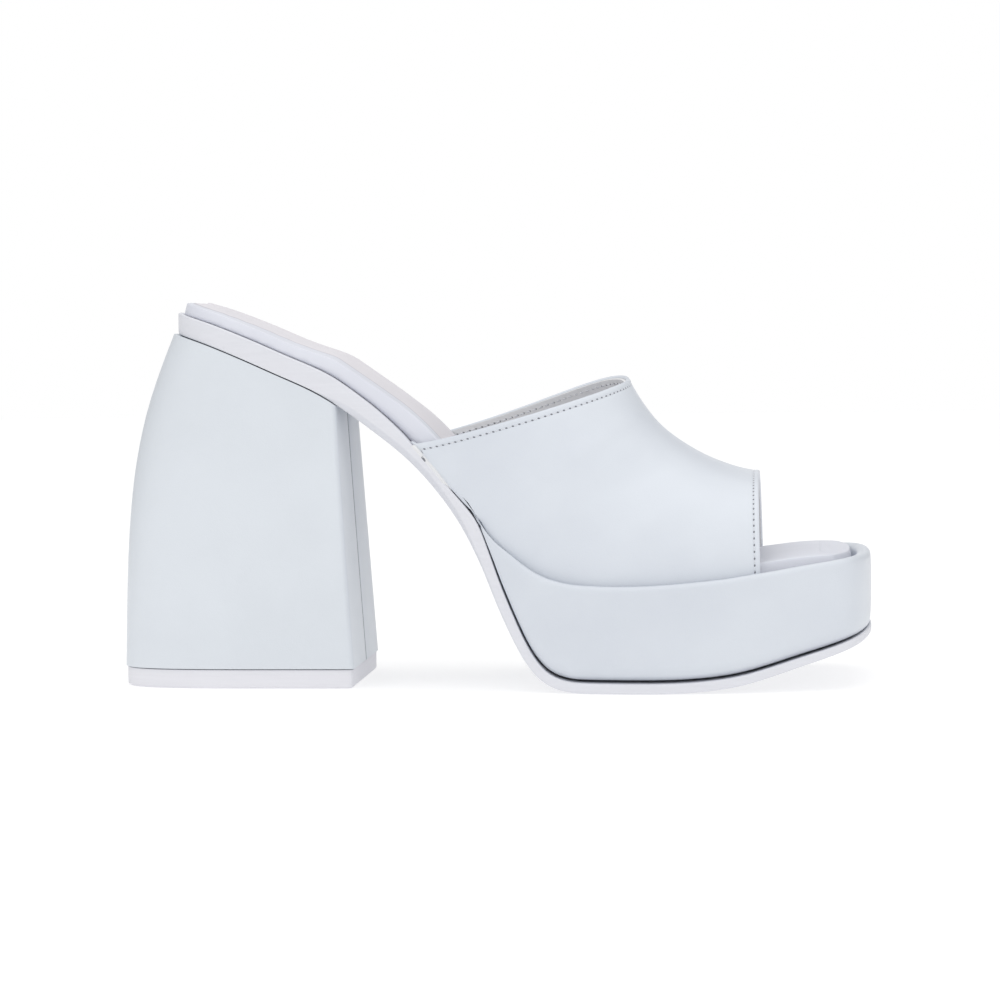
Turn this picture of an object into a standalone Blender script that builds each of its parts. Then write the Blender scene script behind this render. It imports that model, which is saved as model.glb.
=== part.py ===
"""Platform mule for the right foot: block heel, one-piece outsole, wrapped platform, footbed, vamp.

Frame: metres, +Z up, +X towards the toe, +Y towards the inner (medial) side of the foot.
The origin is the centre of the heel's ground face.
"""

import math

import bmesh
import bpy

# Whole shoe
SOLE_LENGTH = 0.2258
HEEL_HEIGHT = 0.1143
TOE_SPRING = 0.0160
SEAT_WIDTH = 0.0530
WAIST_WIDTH = 0.0525
BALL_WIDTH = 0.0926
TOE_WIDTH = 0.0800

# Rounded ends of the sole's outline
SEAT_ROUND = 0.0280
SEAT_SQUARENESS = 2.3
TOE_ROUND = 0.0120
TOE_SQUARENESS = 2.5

# Heel and its wearing plate
HEEL_FOOT_LENGTH = 0.0776
HEEL_FOOT_WIDTH = 0.0612
HEEL_SETBACK = 0.0170
HEEL_SQUARENESS = 5.0
HEEL_CURVE = 3.7
HEEL_OVERHANG = 0.0013
HEEL_SIDE_CURVE = 1.5
BREAST_LEAN = 0.0054
BREAST_CORNER = 0.0021
TOP_PIECE = 0.0063
TOP_PIECE_INSET = 0.0005
TOP_PIECE_BEVEL = 0.0006

# Outsole edge
SEAT_EDGE = 0.0067
SHANK_EDGE = 0.0039
TREAD_EDGE = 0.0034
SHANK_BEVEL = 0.0022
EDGE_SOFTENING = 0.0004

# Platform
PLATFORM_THICKNESS = 0.0308
RIM_WIDTH = 0.0045
RIM_ROUND = 0.0026
RECESS_DEPTH = 0.0045
WRAP_ROUND = 0.0010
TIP_EASE = 0.0052

# Footbed
FOOTBED_SEAT = 0.0037
FOOTBED_WAIST = 0.0060
FOOTBED_BALL = 0.0072
FOOTBED_ROUND = 0.0011
FOOTBED_DRAFT = 0.0007
FOOTBED_CROWN = 0.0018
CROWN_SHOULDER = 0.0075

# Upper
INSTEP_HEIGHT = 0.0977
UPPER_WALL = 0.0020
RIDGE_OFFSET = 0.0045
TOPLINE_SAG = 0.0023
TOPLINE_SWELL = 0.0033
WALL_BELLY = 0.0012

# Shares of the height or width that is left, for roundings where the platform runs thin
WRAP_SHARE = 0.20
CROWN_SHARE = 0.30
FILLET_SHARE = 0.45
LIP_SHARE = 0.35
LIP_EASE = 0.30

# Crown of the footbed reached at its shoulder, as a share
SHOULDER_RISE = 0.60

# Shapes of the topline between foot and ridge: scale and powers of the rise and of what is left
SAG_SHAPE = (1.73, 0.35, 0.45)
SWELL_SHAPE = (4.0, 3.0, 0.6)

# Fits
FIT = 0.0003
FEATHER_GAP = 0.0005

# Length along the sole, width that the row follows, share of it, axis offset as a share of the ball
OUTLINE = (
    (0.000, "seat", 0.900, 0.000),
    (0.090, "seat", 0.940, 0.000),
    (0.170, "seat", 0.980, 0.000),
    (0.250, "seat", 1.000, 0.000),
    (0.317, "waist", 1.005, -0.005),
    (0.361, "waist", 1.036, -0.013),
    (0.405, "waist", 1.115, -0.021),
    (0.450, "ball", 0.700, -0.027),
    (0.494, "ball", 0.780, -0.029),
    (0.538, "ball", 0.855, -0.027),
    (0.582, "ball", 0.920, -0.022),
    (0.627, "ball", 0.966, -0.016),
    (0.671, "ball", 0.991, -0.010),
    (0.715, "ball", 1.000, -0.005),
    (0.760, "ball", 0.994, 0.000),
    (0.804, "ball", 0.977, 0.006),
    (0.848, "ball", 0.948, 0.013),
    (0.892, "toe", 1.048, 0.021),
    (0.937, "toe", 0.995, 0.029),
    (1.000, "toe", 0.910, 0.040),
)

# Length along the sole, height of the underside as a share of the heel height
DESCENT = (
    (0.000, 1.000),
    (0.051, 0.970),
    (0.104, 0.929),
    (0.162, 0.878),
    (0.221, 0.825),
    (0.250, 0.786),
    (0.279, 0.744),
    (0.307, 0.702),
    (0.336, 0.657),
    (0.364, 0.605),
    (0.392, 0.542),
    (0.421, 0.464),
    (0.450, 0.358),
    (0.478, 0.226),
    (0.507, 0.110),
    (0.523, 0.063),
    (0.542, 0.027),
    (0.564, 0.008),
    (0.590, 0.000),
    (1.000, 0.000),
)

# Length along the sole, lift of the underside as a share of the toe spring
SPRING = (
    (0.000, 0.000),
    (0.690, 0.000),
    (0.730, 0.012),
    (0.760, 0.038),
    (0.790, 0.084),
    (0.8135, 0.136),
    (0.8525, 0.282),
    (0.896, 0.480),
    (0.937, 0.660),
    (0.979, 0.870),
    (1.000, 1.000),
)

# Length along the sole, edge that the row follows, share of it
EDGE = (
    (0.000, "seat", 0.98),
    (0.245, "seat", 1.02),
    (0.295, "seat", 1.00),
    (0.330, "seat", 0.86),
    (0.360, "seat", 0.66),
    (0.385, "shank", 0.96),
    (0.410, "shank", 1.00),
    (0.430, "shank", 1.12),
    (0.4485, "shank", 1.31),
    (0.462, "shank", 1.04),
    (0.500, "tread", 1.10),
    (0.560, "tread", 1.00),
    (0.800, "tread", 0.92),
    (1.000, "tread", 0.72),
)

# Length along the sole, bevel of the lower edge as a share of the shank's bevel
BEVEL = (
    (0.000, 0.14),
    (0.225, 0.14),
    (0.262, 1.00),
    (0.400, 0.90),
    (0.460, 0.30),
    (0.520, 0.16),
    (1.000, 0.16),
)

# Length along the sole, platform's thickness as a share of the largest
LIFT = (
    (0.445, 0.000),
    (0.465, 0.176),
    (0.479, 0.370),
    (0.494, 0.553),
    (0.508, 0.705),
    (0.523, 0.843),
    (0.537, 0.928),
    (0.551, 0.976),
    (0.565, 0.997),
    (0.593, 0.998),
    (0.640, 0.986),
    (0.690, 0.996),
    (0.760, 1.017),
    (0.814, 1.012),
    (0.869, 0.962),
    (0.923, 0.905),
    (0.960, 0.860),
    (1.000, 0.775),
)

# Length along the sole, rim width and recess depth as shares of their own sizes
RIM = (
    (0.330, 0.08, 0.03),
    (0.450, 0.20, 0.03),
    (0.495, 0.62, 0.50),
    (0.540, 0.95, 0.90),
    (0.580, 1.00, 1.00),
    (0.900, 1.00, 1.00),
    (1.000, 1.10, 1.15),
)

# Length along the sole, thickness of the footbed that the row follows, share of it, share of the
# upper's wall left free beside it, crown as a share of its own size
FOOTBED = (
    (0.000, "seat", 1.00, 0.45, 1.00),
    (0.180, "seat", 1.00, 0.30, 1.00),
    (0.240, "seat", 1.25, 0.30, 0.90),
    (0.300, "waist", 0.82, 0.50, 0.80),
    (0.345, "waist", 0.98, 1.0, 0.70),
    (0.400, "ball", 1.00, 1.0, 0.60),
    (0.560, "ball", 0.96, 1.0, 0.50),
    (0.840, "ball", 0.98, 1.0, 0.60),
    (0.900, "ball", 0.92, 0.7, 0.60),
    (0.960, "ball", 0.78, 0.3, 0.55),
    (1.000, "ball", 0.66, 0.1, 0.45),
)

# Foot of the section along the sole, its ridge along the sole, ridge height as a share of the
# instep height, roundness of the arch, sag of the outer half, swell of the inner half, belly
UPPER = (
    (0.3520, 0.6530, 1.0000, 2.00, 1.00, 1.00, 0.20),
    (0.4050, 0.6670, 0.9430, 2.02, 0.60, 0.75, 0.60),
    (0.4580, 0.6820, 0.8920, 2.06, 0.28, 0.50, 1.00),
    (0.5160, 0.6975, 0.8500, 2.10, 0.08, 0.28, 1.00),
    (0.5735, 0.7170, 0.8110, 2.15, 0.00, 0.10, 1.00),
    (0.6310, 0.7415, 0.7730, 2.22, 0.00, 0.00, 1.00),
    (0.6890, 0.7665, 0.7410, 2.30, 0.00, 0.00, 0.80),
    (0.7460, 0.7930, 0.7155, 2.38, 0.00, 0.00, 0.60),
    (0.7990, 0.8190, 0.6970, 2.45, 0.00, 0.00, 0.40),
    (0.8437, 0.8405, 0.6880, 2.50, 0.00, 0.00, 0.20),
)

# Reach to both sides over which a slope is taken, as a share of the length
SLOPE_REACH = 0.005

# Creases steeper than this stay sharp
SHARP_ANGLE = 35

# Stations and divisions
SEAT_TURN = (0, 14, 27, 40, 53, 66, 78, 90)
TOE_TURN = (90, 77, 64, 51, 38, 25, 12, 0)
SHANK_STATIONS = (0.145, 0.170, 0.195, 0.220, 0.243, 0.262, 0.280, 0.298, 0.316, 0.334, 0.352,
                  0.370, 0.388, 0.405, 0.420, 0.434)
WEDGE_START = 0.4490
WEDGE_STATIONS = (0.458, 0.468, 0.478, 0.489, 0.500, 0.511, 0.522, 0.533, 0.545, 0.558, 0.572, 0.590)
TREAD_STATIONS = (0.620, 0.650, 0.678, 0.702, 0.724, 0.745, 0.765, 0.785, 0.804, 0.823, 0.843, 0.864,
                  0.886, 0.908, 0.930)
HEEL_TURNS = 15
HEEL_LEVELS = (0.0, 0.012, 0.05, 0.10, 0.17, 0.26, 0.36, 0.48, 0.62, 0.80, 1.0)
CORNER_TURNS = (0, 25, 50, 75, 90)
RIM_TURNS = (0, 30, 60, 90)
ROUND_TURNS = (0, 45, 90)
UPPER_STATIONS = 26
UPPER_ARCH = 32


def smooth(rows, column, at):
    """Monotone cubic through two columns of a table, so level stretches stay level."""
    points = [(row[0], row[column]) for row in rows]
    if at <= points[0][0]:
        return points[0][1]
    if at >= points[-1][0]:
        return points[-1][1]
    steps = [(b[1] - a[1]) / (b[0] - a[0]) for a, b in zip(points, points[1:])]
    index = max(i for i, point in enumerate(points) if point[0] <= at)

    def tangent(i):
        if i == 0:
            return steps[0]
        if i == len(steps):
            return steps[-1]
        if steps[i - 1] * steps[i] <= 0.0:
            return 0.0
        return 2.0 * steps[i - 1] * steps[i] / (steps[i - 1] + steps[i])

    start, end = points[index], points[index + 1]
    span = end[0] - start[0]
    t = (at - start[0]) / span
    rise = span * tangent(index)
    fall = span * tangent(index + 1)
    return (start[1] * (1 + 2 * t) * (1 - t) ** 2 + rise * t * (1 - t) ** 2
            + end[1] * t * t * (3 - 2 * t) + fall * t * t * (t - 1))


def sized(rows, sizes):
    """Turn the size name and share of each row into one length, and keep the other columns."""
    return [(row[0], sizes[row[1]] * row[2]) + tuple(row[3:]) for row in rows]


WIDTHS = sized(OUTLINE, {"seat": SEAT_WIDTH, "waist": WAIST_WIDTH, "ball": BALL_WIDTH,
                         "toe": TOE_WIDTH})
EDGES = sized(EDGE, {"seat": SEAT_EDGE, "shank": SHANK_EDGE, "tread": TREAD_EDGE})
CUSHION = sized(FOOTBED, {"seat": FOOTBED_SEAT, "waist": FOOTBED_WAIST, "ball": FOOTBED_BALL})
SOLE_BACK = -HEEL_FOOT_LENGTH / 2 + HEEL_SETBACK


def length_at(along):
    """X of a share of the sole's length."""
    return SOLE_BACK + along * SOLE_LENGTH


def along_at(x):
    """Share of the sole's length at X."""
    return (x - SOLE_BACK) / SOLE_LENGTH


def end_round(reach, squareness):
    """Width left by a rounded end, as a share; reach runs from 0 at its start to 1 at its tip."""
    return (1.0 - min(max(reach, 0.0), 1.0) ** squareness) ** (1.0 / squareness)


def outline_edge(along, side):
    """Y of the sole's outline; side is -1 on the outer edge and 1 on the inner edge."""
    axis = smooth(OUTLINE, 3, along) * BALL_WIDTH
    half = smooth(WIDTHS, 1, along) / 2
    half *= end_round(1.0 - along * SOLE_LENGTH / SEAT_ROUND, SEAT_SQUARENESS)
    half *= end_round(1.0 - (1.0 - along) * SOLE_LENGTH / TOE_ROUND, TOE_SQUARENESS)
    return axis + side * half


def underside(along):
    """Height of the outsole's underside."""
    return smooth(DESCENT, 1, along) * HEEL_HEIGHT + smooth(SPRING, 1, along) * TOE_SPRING


def slant(height, along):
    """Length of a slanting face over its level length."""
    low = max(along - SLOPE_REACH, 0.0)
    high = min(along + SLOPE_REACH, 1.0)
    return math.hypot(1.0, (height(high) - height(low)) / ((high - low) * SOLE_LENGTH))


def steepness(along):
    """Slant of the underside."""
    return slant(underside, along)


def tread_top(along):
    """Height of the outsole's upper face."""
    return underside(along) + smooth(EDGES, 1, along) * steepness(along)


def platform_base(along):
    """Height of the platform's underside."""
    return tread_top(along) + FIT * steepness(along)


def rim_top(along):
    """Height of the platform's rim."""
    return tread_top(along) + smooth(LIFT, 1, along) * PLATFORM_THICKNESS


def recess_floor(along):
    """Height of the floor inside the platform's rim."""
    return rim_top(along) - smooth(RIM, 2, along) * RECESS_DEPTH


def bed(along):
    """Height that carries footbed and upper: outsole behind, eased up to the platform in front."""
    if along >= WEDGE_START:
        return recess_floor(along)
    step = recess_floor(WEDGE_START) - tread_top(WEDGE_START)
    ease = 1.0 - (WEDGE_START - along) * SOLE_LENGTH / TIP_EASE
    return tread_top(along) + step * max(ease, 0.0)


def bed_steepness(along):
    """Slant of the bed."""
    return slant(bed, along)


def rim_inset(along):
    """Inset of the rim's inner wall from the sole's outline."""
    return smooth(RIM, 1, along) * RIM_WIDTH


def upper_inset(along):
    """Inset of the upper's outer face from the sole's outline."""
    return rim_inset(along) + FEATHER_GAP


def footbed_inset(along):
    """Inset of the footbed's side from the sole's outline."""
    beside = smooth(CUSHION, 2, along) * UPPER_WALL
    return upper_inset(along) + beside + FIT


def end_stations():
    """Shares of length in the two rounded ends, closer together towards the tips."""
    seat = [SEAT_ROUND / SOLE_LENGTH * (1 - math.cos(math.radians(turn)) ** (2 / SEAT_SQUARENESS))
            for turn in SEAT_TURN]
    toe = [1 - TOE_ROUND / SOLE_LENGTH * (1 - math.cos(math.radians(turn)) ** (2 / TOE_SQUARENESS))
           for turn in TOE_TURN]
    return seat, toe


def sole_stations():
    """All shares of length at which the sole's rings have points."""
    seat, toe = end_stations()
    middle = list(SHANK_STATIONS) + [WEDGE_START] + list(WEDGE_STATIONS) + list(TREAD_STATIONS)
    return seat + middle + toe


def outline_points(stations, side):
    """Points of one side of the sole's outline."""
    return [(length_at(along), outline_edge(along, side)) for along in stations]


def inset_points(stations, side, inset, open_back=False):
    """One side of the outline moved inwards, square to it; a tip moves straight back or forward."""
    points = outline_points(stations, side)
    last = len(points) - 1
    moved = []
    for i, (x, y) in enumerate(points):
        distance = inset(stations[i])
        tip = (i == 0 and not open_back) or i == last
        if tip:
            moved.append((x + (distance if i == 0 else -distance), y))
            continue
        before = points[max(i - 1, 0)]
        after = points[i + 1]
        run = (after[0] - before[0], after[1] - before[1])
        size = math.hypot(*run)
        if i == 0:
            moved.append((x, y - side * distance))
            continue
        moved.append((x + side * distance * run[1] / size, y - side * distance * run[0] / size))
    return moved


def add_material(item, name, colour, roughness):
    """Give a body its own plain material."""
    material = bpy.data.materials.new(name)
    material.use_nodes = True
    shader = material.node_tree.nodes["Principled BSDF"]
    shader.inputs["Base Color"].default_value = (*colour, 1.0)
    shader.inputs["Roughness"].default_value = roughness
    shader.inputs["Metallic"].default_value = 0.0
    item.data.materials.append(material)


def mesh_object(name, vertices, faces):
    """Closed mesh object with outward faces, smooth apart from its sharp edges."""
    mesh = bpy.data.meshes.new(name)
    build = bmesh.new()
    made = [build.verts.new(vertex) for vertex in vertices]
    for face in faces:
        corners = []
        for index in face:
            if made[index] not in corners:
                corners.append(made[index])
        if len(corners) > 2:
            build.faces.new(corners)
    bmesh.ops.recalc_face_normals(build, faces=build.faces)
    build.to_mesh(mesh)
    build.free()
    mesh.shade_smooth()
    mesh.set_sharp_from_angle(angle=math.radians(SHARP_ANGLE))
    item = bpy.data.objects.new(name, mesh)
    bpy.context.scene.collection.objects.link(item)
    return item


def ring_body(name, rings, closed_back=True, spine=None):
    """Body from rings, lowest first. A ring is its outer and its inner side as lists of points.

    The lowest ring is closed by rungs from side to side, and the highest by rungs, or by two rows
    of faces up to the points of the spine where one is given.
    """
    vertices = []
    faces = []
    table = []
    last = len(rings[0][0]) - 1
    for outer, inner in rings:
        outer_ids = []
        inner_ids = []
        for i in range(last + 1):
            vertices.append(outer[i])
            outer_ids.append(len(vertices) - 1)
            shared = i == last or (i == 0 and closed_back)
            if shared:
                inner_ids.append(outer_ids[-1])
                continue
            vertices.append(inner[i])
            inner_ids.append(len(vertices) - 1)
        table.append((outer_ids, inner_ids))
    for low, high in zip(table, table[1:]):
        for side in (0, 1):
            for i in range(last):
                faces.append((low[side][i], low[side][i + 1], high[side][i + 1], high[side][i]))
    if not closed_back:
        back = [ids[0][0] for ids in table] + [ids[1][0] for ids in reversed(table)]
        if spine:
            vertices.append(spine[0])
            back.insert(len(table), len(vertices) - 1)
        faces.append(back)
    for i in range(last):
        outer, inner = table[0]
        faces.append((outer[i], inner[i], inner[i + 1], outer[i + 1]))
    outer, inner = table[-1]
    if not spine:
        for i in range(last):
            faces.append((outer[i], outer[i + 1], inner[i + 1], inner[i]))
        return mesh_object(name, vertices, faces)
    ridge = [outer[0]]
    for point in spine[1:last]:
        vertices.append(point)
        ridge.append(len(vertices) - 1)
    ridge.append(outer[last])
    for i in range(last):
        faces.append((outer[i], outer[i + 1], ridge[i + 1], ridge[i]))
        faces.append((inner[i], ridge[i], ridge[i + 1], inner[i + 1]))
    return mesh_object(name, vertices, faces)


def sole_ring(stations, inset, height, open_back=False):
    """Ring of points around the sole at an inset from its outline, each at its own height."""
    ring = []
    for side in (-1, 1):
        flat = inset_points(stations, side, inset, open_back)
        ring.append([(x, y, height(along_at(x))) for x, y in flat])
    return ring


def level_inset(along):
    """No inset: the ring lies on the sole's outline."""
    return 0.0


def make_outsole():
    """One-piece outsole with a bevelled lower edge and a softened upper edge."""
    stations = sole_stations()

    def bevel(along):
        return smooth(BEVEL, 1, along) * SHANK_BEVEL

    rings = [
        sole_ring(stations, bevel, underside),
        sole_ring(stations, level_inset, lambda a: underside(a) + bevel(a) * steepness(a)),
        sole_ring(stations, level_inset, lambda a: tread_top(a) - EDGE_SOFTENING * steepness(a)),
        sole_ring(stations, lambda a: EDGE_SOFTENING, tread_top),
    ]
    item = ring_body("outsole", rings)
    add_material(item, "outsole edge", (0.80, 0.75, 0.80), 0.45)
    return item


def make_platform():
    """Wrapped forefoot wedge with a rolled rim round the recess of the footbed."""
    stations = [along for along in sole_stations() if along >= WEDGE_START]

    def height_left(along):
        return rim_top(along) - platform_base(along)

    def wrap(along):
        return min(WRAP_ROUND, WRAP_SHARE * height_left(along))

    def crown(along):
        return min(RIM_ROUND, CROWN_SHARE * height_left(along))

    def fillet(along):
        return min(RIM_ROUND, FILLET_SHARE * rim_inset(along))

    def lip(along):
        return LIP_SHARE * (rim_top(along) - recess_floor(along))

    def rim_step(turn):
        across = 1 - math.cos(math.radians(turn))
        down = 1 - math.sin(math.radians(turn))
        return sole_ring(stations, lambda a: across * fillet(a),
                         lambda a: rim_top(a) - down * crown(a), True)

    rings = [
        sole_ring(stations, wrap, platform_base, True),
        sole_ring(stations, level_inset, lambda a: platform_base(a) + wrap(a), True),
    ]
    rings += [rim_step(turn) for turn in RIM_TURNS]
    rings += [
        sole_ring(stations, lambda a: rim_inset(a) - LIP_EASE * fillet(a),
                  lambda a: rim_top(a) - LIP_EASE * lip(a), True),
        sole_ring(stations, rim_inset, lambda a: rim_top(a) - lip(a), True),
        sole_ring(stations, rim_inset, recess_floor, True),
    ]
    item = ring_body("platform", rings, closed_back=False)
    add_material(item, "platform wrap leather", (0.82, 0.86, 0.93), 0.32)
    return item


def make_footbed():
    """Padded insole from the back of the heel to the toe, crowned across its width."""
    stations = sole_stations()

    def foot(along):
        return bed(along) + FIT * bed_steepness(along)

    def edge_top(along):
        return foot(along) + smooth(CUSHION, 1, along) * bed_steepness(along)

    def crown(along):
        return smooth(CUSHION, 3, along) * FOOTBED_CROWN

    def further(extra):
        return lambda along: footbed_inset(along) + extra

    def round_step(turn):
        across = FOOTBED_ROUND * (1 - math.cos(math.radians(turn)))
        down = FOOTBED_ROUND * (1 - math.sin(math.radians(turn)))
        return sole_ring(stations, further(FOOTBED_DRAFT + across), lambda a: edge_top(a) - down)

    rings = [sole_ring(stations, footbed_inset, foot)]
    rings += [round_step(turn) for turn in ROUND_TURNS]
    rings.append(sole_ring(stations, further(CROWN_SHOULDER),
                           lambda a: edge_top(a) + SHOULDER_RISE * crown(a)))
    spine = []
    for outer, inner in zip(*rings[-1]):
        x = (outer[0] + inner[0]) / 2
        along = along_at(x)
        spine.append((x, (outer[1] + inner[1]) / 2, edge_top(along) + crown(along)))
    item = ring_body("footbed", rings, spine=spine)
    add_material(item, "footbed leather", (0.85, 0.80, 0.84), 0.42)
    return item


def breast_x(level):
    """X of the flat front of the heel; level is 0 on the ground and 1 under the seat."""
    return HEEL_FOOT_LENGTH / 2 - BREAST_LEAN * level


def heel_side(level, side, inset):
    """One side of the heel's section, from the middle of the back round to the breast."""
    back_share = 1 - level ** HEEL_CURVE
    width_share = 1 - level ** HEEL_SIDE_CURVE
    front = breast_x(level) - inset
    seat_front = breast_x(1.0)
    points = []
    for turn in range(HEEL_TURNS + 1):
        angle = math.radians(90 * turn / HEEL_TURNS)
        seat_x = seat_front - (seat_front - SOLE_BACK) * math.cos(angle) ** (2 / SEAT_SQUARENESS)
        seat_y = outline_edge(along_at(seat_x), side)
        seat_x -= HEEL_OVERHANG * math.cos(angle)
        foot_reach = HEEL_FOOT_LENGTH - inset * 2
        foot_x = HEEL_FOOT_LENGTH / 2 - inset - foot_reach * math.cos(angle) ** (2 / HEEL_SQUARENESS)
        foot_y = side * (HEEL_FOOT_WIDTH / 2 - inset) * math.sin(angle) ** (2 / HEEL_SQUARENESS)
        forward = turn / HEEL_TURNS
        share = (1 - forward) * back_share + forward * (1 - level)
        points.append((seat_x + (foot_x - seat_x) * share, seat_y + (foot_y - seat_y) * width_share))
    trimmed = [point for point in points if point[0] < front - BREAST_CORNER]
    edge = points[-1][1]
    for turn in CORNER_TURNS:
        angle = math.radians(turn)
        trimmed.append((front - BREAST_CORNER * (1 - math.sin(angle)),
                        edge - side * BREAST_CORNER * (1 - math.cos(angle))))
    return trimmed


def heel_ring(level, height, inset=0.0):
    """Section of the heel as two sides with the same number of points."""
    sides = [heel_side(level, side, inset) for side in (-1, 1)]
    return [[(x, y, height(x)) for x, y in points] for points in sides]


def seat_under(x):
    """Height of the heel's slanting top."""
    along = max(along_at(x), 0.0)
    return underside(along) - FIT * steepness(along)


def heel_body(name, rings):
    """Body from sections that are closed round the back and flat across the breast."""
    vertices = []
    faces = []
    table = []
    for outer, inner in rings:
        loop = list(outer) + [point for point in reversed(inner[1:])]
        table.append(list(range(len(vertices), len(vertices) + len(loop))))
        vertices.extend(loop)
    size = len(table[0])
    for low, high in zip(table, table[1:]):
        for i in range(size):
            after = (i + 1) % size
            faces.append((low[i], low[after], high[after], high[i]))
    half = (size + 1) // 2
    for ids in (table[0], table[-1]):
        for i in range(half - 1):
            mirror = (size - i) % size
            after = (size - i - 1) % size
            faces.append((ids[i], ids[i + 1], ids[after], ids[mirror]))
    return mesh_object(name, vertices, faces)


def make_heel():
    """Block heel from its wearing plate up to the slanting seat."""
    base = TOP_PIECE

    def height_at(level):
        return lambda x: base + level * (seat_under(x) - base)

    rings = [heel_ring(level, height_at(level)) for level in HEEL_LEVELS]
    item = heel_body("heel_block", rings)
    add_material(item, "heel cover leather", (0.82, 0.86, 0.93), 0.32)
    return item


def make_top_piece():
    """Wearing plate under the heel, flat on the ground."""
    rings = [
        heel_ring(0.0, lambda x: 0.0, TOP_PIECE_INSET + TOP_PIECE_BEVEL),
        heel_ring(0.0, lambda x: TOP_PIECE_BEVEL, TOP_PIECE_INSET),
        heel_ring(0.0, lambda x: TOP_PIECE - FIT, TOP_PIECE_INSET),
    ]
    item = heel_body("top_piece", rings)
    add_material(item, "top piece rubber", (0.80, 0.79, 0.83), 0.5)
    return item


def bulge(shape, rise):
    """Dip or lift between foot and ridge, nothing at either end."""
    scale, rising, falling = shape
    return scale * rise ** rising * (1 - rise) ** falling


def upper_point(progress, turn):
    """Point of the upper's outer face.

    progress runs from 0 at the topline to 1 at the toe opening; turn runs from -1 at the outer
    foot of the section, over the ridge at 0, to 1 at its inner foot.
    """
    rows = [(i / (len(UPPER) - 1),) + row for i, row in enumerate(UPPER)]
    foot = smooth(rows, 1, progress)
    ridge = smooth(rows, 2, progress)
    top = smooth(rows, 3, progress) * INSTEP_HEIGHT
    power = 2 / smooth(rows, 4, progress)
    angle = math.radians(90 * turn)
    rise = max(math.cos(angle), 0.0) ** power
    spread = abs(math.sin(angle)) ** power
    side = -1 if turn < 0 else 1
    along = foot + (ridge - foot) * rise
    floor = bed(foot) + FIT * bed_steepness(foot)
    height = floor + (top - floor) * rise
    if side < 0:
        height -= smooth(rows, 5, progress) * TOPLINE_SAG * bulge(SAG_SHAPE, rise)
    else:
        height += smooth(rows, 6, progress) * TOPLINE_SWELL * bulge(SWELL_SHAPE, rise)
    axis = smooth(OUTLINE, 3, along) * BALL_WIDTH
    middle = axis + RIDGE_OFFSET
    edge = outline_edge(along, side) - side * upper_inset(along)
    belly = smooth(rows, 7, progress) * WALL_BELLY * math.sin(2 * angle) ** 2
    return (length_at(along), middle + (edge - middle) * spread + side * belly, height)


def make_upper():
    """Vamp band with a real wall, open at the topline, at the toe and underneath."""
    vertices = []
    faces = []
    row = UPPER_ARCH + 1
    for i in range(UPPER_STATIONS + 1):
        for j in range(row):
            vertices.append(upper_point(i / UPPER_STATIONS, 2 * j / UPPER_ARCH - 1))
    for i in range(UPPER_STATIONS):
        for j in range(UPPER_ARCH):
            corner = i * row + j
            faces.append((corner, corner + row, corner + row + 1, corner + 1))
    item = mesh_object("upper", vertices, faces)
    wall = item.modifiers.new("wall", "SOLIDIFY")
    wall.thickness = UPPER_WALL
    wall.offset = -1.0
    wall.use_even_offset = True
    add_material(item, "upper leather", (0.83, 0.87, 0.94), 0.32)
    return item


for stale in list(bpy.data.objects):
    bpy.data.objects.remove(stale, do_unlink=True)

make_top_piece()
make_heel()
make_outsole()
make_platform()
make_footbed()
make_upper()
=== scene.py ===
"""Looks of the platform mule: smooth pale leather, lining, sock, stitching and painted edges.

Metres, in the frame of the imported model: +X to the toe, +Y to the inner side, +Z up.
"""

import bisect
import collections
import functools
import math

import bmesh
import bpy
from mathutils import Matrix, Quaternion, Vector
from mathutils.kdtree import KDTree


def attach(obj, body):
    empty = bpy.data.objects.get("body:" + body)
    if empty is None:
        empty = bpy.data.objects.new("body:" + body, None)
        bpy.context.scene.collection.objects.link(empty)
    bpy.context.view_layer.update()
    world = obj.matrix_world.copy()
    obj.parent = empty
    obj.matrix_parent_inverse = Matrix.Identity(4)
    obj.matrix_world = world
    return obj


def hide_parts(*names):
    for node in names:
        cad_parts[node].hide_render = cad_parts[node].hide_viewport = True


MM = 0.001

# Camera of the photograph
EYE = (0.1813, -1.0300, 0.1160)
AIM = (0.0863, -0.0300, 0.0602)
FOCAL_PIXELS = 3169.0
FRAME_PIXELS = 1000.0
SENSOR = 36.0
ROLL = 0.64

# Sole, from its driving sizes
SOLE_LENGTH = 0.2258
SOLE_BACK = -0.0218
HEEL_HEIGHT = 0.1143
TOE_SPRING = 0.0160
WAIST_WIDTH = 0.0525
BALL_WIDTH = 0.0926
TOE_WIDTH = 0.0800
SHANK_EDGE = 0.0039
SEAT_EDGE = 0.0067
TREAD_EDGE = 0.0034
PLATFORM_THICKNESS = 0.0308
RIM_WIDTH = 0.0045
RECESS_DEPTH = 0.0045
WEDGE_START = 0.4490
TIP_EASE = 0.0052
SLOPE_REACH = 0.005
FIT = 0.0003
FEATHER_GAP = 0.0005

# Upper
INSTEP_HEIGHT = 0.0977
RIDGE_OFFSET = 0.0045
TOPLINE_SAG = 0.0023
TOPLINE_SWELL = 0.0033
WALL_BELLY = 0.0012
SAG_SHAPE = (1.73, 0.35, 0.45)
SWELL_SHAPE = (4.0, 3.0, 0.6)
LEATHER = 1.15 * MM
LINING_GAP = 0.02 * MM
LINING = 0.80 * MM
LINING_BACK = 0.40 * MM
INSIDE = LEATHER + LINING_GAP + LINING

# Stitching
PITCH = 2.15 * MM
STITCH_LENGTH = 1.45 * MM
THREAD = 0.42 * MM
TOPLINE_ROW = 2.05 * MM
OPENING_ROW = 1.70 * MM
HOLE = 0.40 * MM

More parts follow.
